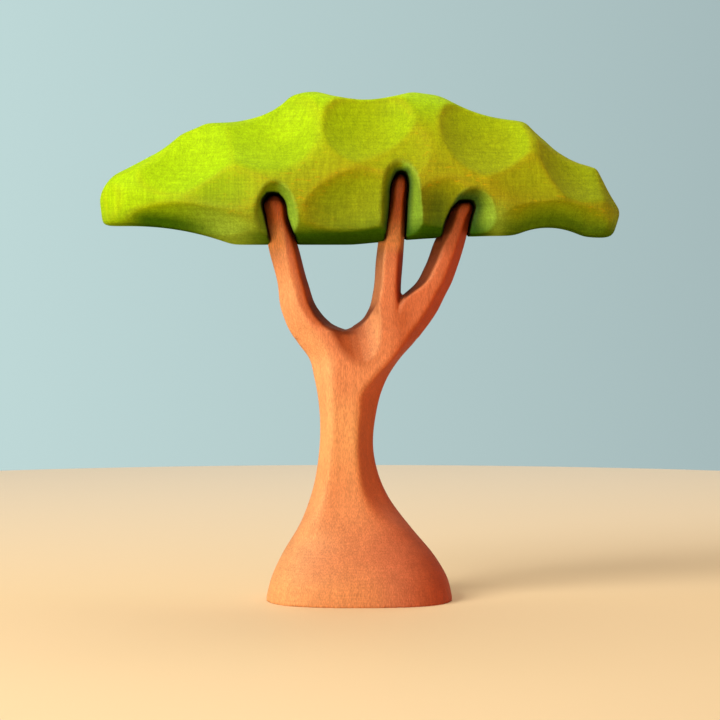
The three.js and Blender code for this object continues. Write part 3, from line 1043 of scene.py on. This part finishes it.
# %% Stain in layers, grain through it, and wax on top
MIX_FACTOR, MIX_A, MIX_B, MIX_RESULT = 0, 6, 7, 2  # a colour Mix node's sockets
GRAIN_RELIEF = 0.1  # millimetres that the fibres stand up
RELIEF_LEFT = 0.5  # share of that which sanding and wax leave
WAXED_WOOD_IOR = 1.5


def tint(tree, colour, hex_colour, value, most):
    """Mixes a colour towards another, by up to most where value is 1."""
    share = add(tree, "ShaderNodeMath", {0: value, 1: most}, operation="MULTIPLY", use_clamp=True)
    return add(tree, "ShaderNodeMix", {
        MIX_FACTOR: share.outputs[0], MIX_A: colour, MIX_B: linear(hex_colour),
    }, data_type="RGBA").outputs[MIX_RESULT]


def vary(tree, colour, value, low, high):
    """Multiplies a colour by low where value is 0 and by high where it is 1."""
    shade = add(tree, "ShaderNodeMapRange", {"Value": value, "To Min": low, "To Max": high})
    return add(tree, "ShaderNodeMix", {
        MIX_FACTOR: 1.0, MIX_A: colour, MIX_B: shade.outputs["Result"],
    }, data_type="RGBA", blend_type="MULTIPLY").outputs[MIX_RESULT]


def stain(tree, colour, sockets, layers, grains):
    """Lays each layer over the colour where its socket says, and lets the grains show through."""
    for place, hex_colour, most in layers:
        colour = tint(tree, colour, hex_colour, sockets[place], most)
    for name, low, high in grains:
        colour = vary(tree, colour, sockets[name], low, high)
    return colour


def product(tree, first, second):
    return add(tree, "ShaderNodeMath", {0: first, 1: second}, operation="MULTIPLY").outputs[0]


def wax(tree, wood, colour, raised, roughness):
    """Gives the shader its colour, and the raised grain its relief and its duller sheen."""
    smooth, rough = roughness
    sheen = add(tree, "ShaderNodeMapRange", {"Value": raised, "To Min": smooth, "To Max": rough})
    relief = add(tree, "ShaderNodeBump", {
        "Strength": RELIEF_LEFT, "Distance": GRAIN_RELIEF * MM, "Height": raised,
    })
    tree.links.new(colour, wood.inputs["Base Color"])
    tree.links.new(sheen.outputs["Result"], wood.inputs["Roughness"])
    tree.links.new(relief.outputs["Normal"], wood.inputs["Normal"])
    wood.inputs["IOR"].default_value = WAXED_WOOD_IOR


# %% [markdown]
# ## The crown's finish: limewood, gouged and sanded, green water stain, thin wax
#
# Water stain soaks in and gives the eye a clear, bright colour, and the wax over it gives a soft
# sheen with no hard highlights. The stain is lime green on top and more olive lower down. Near the
# underside it is a darker green, and painted shade darkens it further there, underneath, in the
# notches and between two of them, while painted light makes the notch walls that face the key
# paler and a warm painted shade lies on the faces turned from it. It is rubbed back towards yellow
# on the faces that stand proud and, here and there, on the ridges. The underside got no wax, so it
# doesn't shine at all.
#
# The layers go on in the order of the table, as a painter would lay them: the broad tones first,
# and the painted shade in the gaps round the tips last.

# %% Green stained limewood
GREEN_LOW, GREEN_HIGH = "#7ea01a", "#acd600"
# Each layer: where it lies, its colour, and how much of it takes there.
GREEN_LAYERS = [
    ("proud", "#b4ac14", 0.55),
    # painted shade, a warm olive on the faces turned from the key
    ("warm_shade", "#a09004", 0.5),
    ("patchy_ridge", "#c8a014", 0.25),
    ("rubbed_specks", "#d8ac08", 0.6),
    ("between", "#3e5204", 0.75),
    # painted light and painted shade on the notches' walls
    ("lit_notch_wall", "#8cbc3c", 0.6),
    ("shaded_notch_wall", "#56660a", 0.45),
    # stain pooled near the boughs, and painted shade there
    ("pooled_stain_and_shade", "#184624", 0.82),
    # painted shade between the middle and the right notch
    ("rubbed", "#a8cc40", 0.7),
    # darker stain low down, and painted shade on faces that look down
    ("low_stain_and_shade", "#2a5404", 0.92),
    # painted shade on faces that look straight down
    ("under", "#16380a", 0.35),
    # painted shade in the gaps round the tips
    ("gap_shade", "#0c1402", 0.97),
]
# Each grain, and what its darkest and its brightest places multiply the colour by.
GREEN_GRAINS = [
    ("clouds", 0.8, 0.95),
    ("pebbles", 0.82, 1.12),
    ("bands", 0.88, 1.09),
    ("threads", 0.9, 1.08),
    ("rows", 0.9, 1.08),
]
SPECK_LOW, SPECK_HIGH = 0.78, 0.95  # only the peaks of the noise are specks
GREEN_ROUGHNESS = (0.6, 0.75)
GREEN_GLOSS = 0.08


def green_stained_limewood(piece):
    material, tree, wood = new_material("green_stained_limewood")
    sockets = add_grains(tree, ("pebbles", "bands", "threads", "rows", "specks", "clouds"))
    sockets |= read_attributes(tree, piece)
    specks = add(tree, "ShaderNodeMapRange", {
        "Value": sockets["specks"], "From Min": SPECK_LOW, "From Max": SPECK_HIGH,
    }).outputs["Result"]
    sockets["rubbed_specks"] = product(tree, specks, sockets["proud"])
    sockets["patchy_ridge"] = product(tree, sockets["ridge"], sockets["clouds"])
    colour = tint(tree, linear(GREEN_LOW), GREEN_HIGH, sockets["height"], 1.0)
    colour = stain(tree, colour, sockets, GREEN_LAYERS, GREEN_GRAINS)
    wax(tree, wood, colour, sockets["pebbles"], GREEN_ROUGHNESS)
    gloss = add(tree, "ShaderNodeMapRange", {
        "Value": sockets["unwaxed"], "To Min": GREEN_GLOSS, "To Max": 0.0,
    })
    tree.links.new(gloss.outputs["Result"], wood.inputs["Specular IOR Level"])
    print(material.name, "has", len(tree.nodes), "nodes")
    return material


# %% [markdown]
# ## The trunk's finish: limewood, knife-cut and sanded, brown water stain, thin wax
#
# The same wood takes a brown stain here. Light and shade are painted into it: it is golden on the
# faces that look left, towards the key, and goes over into a salmon red on the faces that look
# right, in painted shade. Where the fibres end at the surface, on the flare of the foot and in the
# fork, they drink more and turn darker. The sandpaper went round the foot and left fine scratches
# across the grain, and short dark flecks run with it. The wax was polished a little more than on
# the crown, so the trunk shines more.

# %% Brown stained limewood
# Painted light and shade: the first colour for faces that look left, towards the key, the second
# for faces that look right.
BROWN_LIT, BROWN_IN_SHADE = "#f4b274", "#d26434"
BROWN_LAYERS = [
    ("waist", "#f8b86c", 0.5),
    # heavier stain and painted shade on the right and under the crown
    ("red_stain_and_shade", "#b84c1c", 0.6),
    # painted shade on faces that look right
    ("shaded", "#a22c06", 0.75),
    ("clouds", "#c8522c", 0.25),
    # stain gathered in the valleys, and painted shade there
    ("hollow_stain_and_shade", "#a04a1c", 0.7),
    # painted shade beside the fork
    ("fork_shade", "#a8480c", 0.6),
    # painted shade on the boughs' inner faces that look left
    ("shaded_inner_side", "#8a5030", 0.6),
    ("endgrain", "#8e3c16", 0.5),
    # painted light on the boughs just under the crown
    ("lit_under_crown", "#ffa458", 0.75),
    ("tips", "#d85a04", 0.7),
    ("foot", "#f0a85c", 0.35),
    ("blush", "#cc7452", 0.5),
    # painted shade in the fork
    ("inner", "#54220a", 0.9),
    # painted shade where the boughs go in under the crown
    ("gap_shade", "#140804", 0.95),
    ("between_fibres", "#8c3a10", 0.36),
]
BROWN_GRAINS = [
    ("fibres", 1.0, 1.14),
    ("pebbles", 0.93, 1.05),
    ("bands", 0.9, 1.06),
    ("foot_scratches", 1.0, 0.88),
]
BROWN_ROUGHNESS = (0.5, 0.66)
BROWN_GLOSS = 0.25


def brown_stained_limewood(piece):
    material, tree, wood = new_material("brown_stained_limewood")
    sockets = add_grains(tree, ("pebbles", "fibres", "bands", "scratches", "clouds"))
    sockets |= read_attributes(tree, piece)
    sockets["between_fibres"] = add(tree, "ShaderNodeMath", {
        0: 1.0, 1: sockets["fibres"],
    }, operation="SUBTRACT").outputs[0]
    sockets["foot_scratches"] = product(tree, sockets["scratches"], sockets["flare"])
    colour = tint(tree, linear(BROWN_LIT), BROWN_IN_SHADE, sockets["lit_to_shaded"], 1.0)
    colour = stain(tree, colour, sockets, BROWN_LAYERS, BROWN_GRAINS)
    wax(tree, wood, colour, sockets["fibres"], BROWN_ROUGHNESS)
    wood.inputs["Specular IOR Level"].default_value = BROWN_GLOSS
    print(material.name, "has", len(tree.nodes), "nodes")
    return material


# %% Stain both pieces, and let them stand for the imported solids
for piece, finish in ((crown, green_stained_limewood), (trunk, brown_stained_limewood)):
    piece.data.materials.clear()
    piece.data.materials.append(finish(piece))
    for face in piece.data.polygons:
        face.use_smooth = True
    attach(piece, "root")
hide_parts("crown")
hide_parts("trunk", "left_bough", "middle_bough", "right_bough")

# %% [markdown]
# ## The floor
#
# The toy stands on a plain pale round floor, about a metre across. Its warm colour matters: it
# throws warm light up under the crown and on the foot. It pales a little towards its far edge, so
# that the edge stays quiet against the backdrop.

# %% A round pale floor
FLOOR_RADIUS = 480.0
FLOOR_THICKNESS = 12.0
FLOOR_SIDES = 128
FLOOR_NEAR, FLOOR_FAR = "#ecd2a6", "#fff6e2"
FLOOR_ROUGHNESS = 0.6

rim = np.column_stack([FLOOR_RADIUS * unit_circle(FLOOR_SIDES), np.zeros(FLOOR_SIDES)])
floor = skin_from_rings("floor", np.array([rim - (0, 0, FLOOR_THICKNESS), rim]))


def pale_floor():
    material, tree, surface = new_material("pale_floor")
    place = add(tree, "ShaderNodeTexCoord").outputs["Object"]
    behind = add(tree, "ShaderNodeSeparateXYZ", {0: place}).outputs["Y"]
    share = add(tree, "ShaderNodeMapRange", {"Value": behind, "From Max": FLOOR_RADIUS * MM})
    colour = tint(tree, linear(FLOOR_NEAR), FLOOR_FAR, share.outputs["Result"], 1.0)
    tree.links.new(colour, surface.inputs["Base Color"])
    surface.inputs["Roughness"].default_value = FLOOR_ROUGHNESS
    return material


floor.data.materials.append(pale_floor())
print("floor", 2 * FLOOR_RADIUS, "mm across")

# %% [markdown]
# ## Light
#
# The key light is soft and stands high in front on the left. It makes the faces that look up and
# left bright and lets the right side of the trunk go deep, and the crown shades the boughs below
# it. A low front light reaches into the notches, where the key can't. A weak one above and behind
# draws the bright rim along the crown's crest, and a warm one on the right warms the shaded side.

# %% Four lights, placed in metres
LIGHT_AIM = Vector((0.0, 0.0, 0.09))


class Light(NamedTuple):
    name: str
    place: tuple
    size: float
    watts: float
    colour: str


LIGHTS = [
    Light("key", (-0.53, -0.38, 0.55), 0.42, 6.6, "#fff9f0"),
    Light("front", (-0.3, -0.85, 0.06), 0.6, 3.2, "#fff0e2"),
    Light("warm", (0.75, -0.1, 0.2), 0.6, 1.4, "#ffac7c"),
    Light("above", (0.1, 0.3, 0.75), 0.6, 2.4, "#fffae6"),
]
for name, place, size, watts, colour in LIGHTS:
    light = bpy.data.lights.new(name, "AREA")
    light.shape = "DISK"
    light.size = size
    light.energy = watts
    light.color = linear(colour)[:3]
    lamp = bpy.data.objects.new(name, light)
    lamp.visible_camera = False
    lamp.location = place
    lamp.rotation_euler = (LIGHT_AIM - Vector(place)).to_track_quat("-Z", "Y").to_euler()
    bpy.context.scene.collection.objects.link(lamp)
print("watts in all:", round(sum(light.watts for light in LIGHTS), 1))

# %% [markdown]
# The backdrop is the world's colour, brighter on the key's side. The camera sees that colour as it
# is, but a backdrop so bright would wash out the shade under the crown. So what reaches the wood
# from all round is a weaker and warmer light.

# %% The backdrop
BACKDROP_LEFT, BACKDROP_RIGHT = "#bed8d7", "#a6bbbc"
BACKDROP_EDGE = 0.17  # how far to the side the camera looks at the picture's edges, as a share
ALL_ROUND_COLOUR, ALL_ROUND_STRENGTH = "#ffeede", 0.25


def backdrop():
    world = bpy.data.worlds.new("backdrop")
    world.use_nodes = True
    sky = world.node_tree
    sky.nodes.clear()
    direction = add(sky, "ShaderNodeTexCoord").outputs["Generated"]
    sideways = add(sky, "ShaderNodeSeparateXYZ", {0: direction}).outputs["X"]
    share = add(sky, "ShaderNodeMapRange", {
        "Value": sideways, "From Min": -BACKDROP_EDGE, "From Max": BACKDROP_EDGE,
    })
    colour = tint(sky, linear(BACKDROP_LEFT), BACKDROP_RIGHT, share.outputs["Result"], 1.0)
    seen = add(sky, "ShaderNodeBackground", {"Color": colour, "Strength": 1.0})
    given = add(sky, "ShaderNodeBackground", {
        "Color": linear(ALL_ROUND_COLOUR), "Strength": ALL_ROUND_STRENGTH,
    })
    straight = add(sky, "ShaderNodeLightPath").outputs["Is Camera Ray"]
    both = add(sky, "ShaderNodeMixShader", {0: straight, 1: given.outputs[0], 2: seen.outputs[0]})
    add(sky, "ShaderNodeOutputWorld", {"Surface": both.outputs[0]})
    return world


bpy.context.scene.world = backdrop()
bpy.context.scene.view_settings.view_transform = "Standard"
print("backdrop from", BACKDROP_LEFT, "to", BACKDROP_RIGHT)

# %% [markdown]
# ## The camera
#
# The camera stands 600 mm in front of the tree, a little above the fork, and looks very slightly
# down. A long lens at that distance keeps the crown's ends from bulging. The numbers come from
# three facts of the picture: how many of its pixels make a millimetre at the tree, where the foot
# meets the floor, and how curved the foot's front edge looks.

# %% Place the camera
PICTURE_SIZE = 720  # pixels on each side
PIXELS_PER_MM = 3.46
CAMERA_DISTANCE = 600.0
CAMERA_HEIGHT = 87.0
HORIZON_ROW = 298  # of the picture, from its top
SENSOR_WIDTH = 36.0

focal_pixels = PIXELS_PER_MM * CAMERA_DISTANCE
pitch = atan((PICTURE_SIZE / 2 - HORIZON_ROW) / focal_pixels)
lens = bpy.data.cameras.new("camera")
lens.sensor_width = SENSOR_WIDTH
lens.lens = SENSOR_WIDTH * focal_pixels / PICTURE_SIZE
camera = bpy.data.objects.new("camera", lens)
camera.location = (0, -CAMERA_DISTANCE * MM, CAMERA_HEIGHT * MM)
camera.rotation_euler = (pi / 2 - pitch, 0, 0)
bpy.context.scene.collection.objects.link(camera)
bpy.context.scene.camera = camera
print(f"lens {lens.lens:.1f} mm, looking {degrees(pitch):.2f} degrees down")
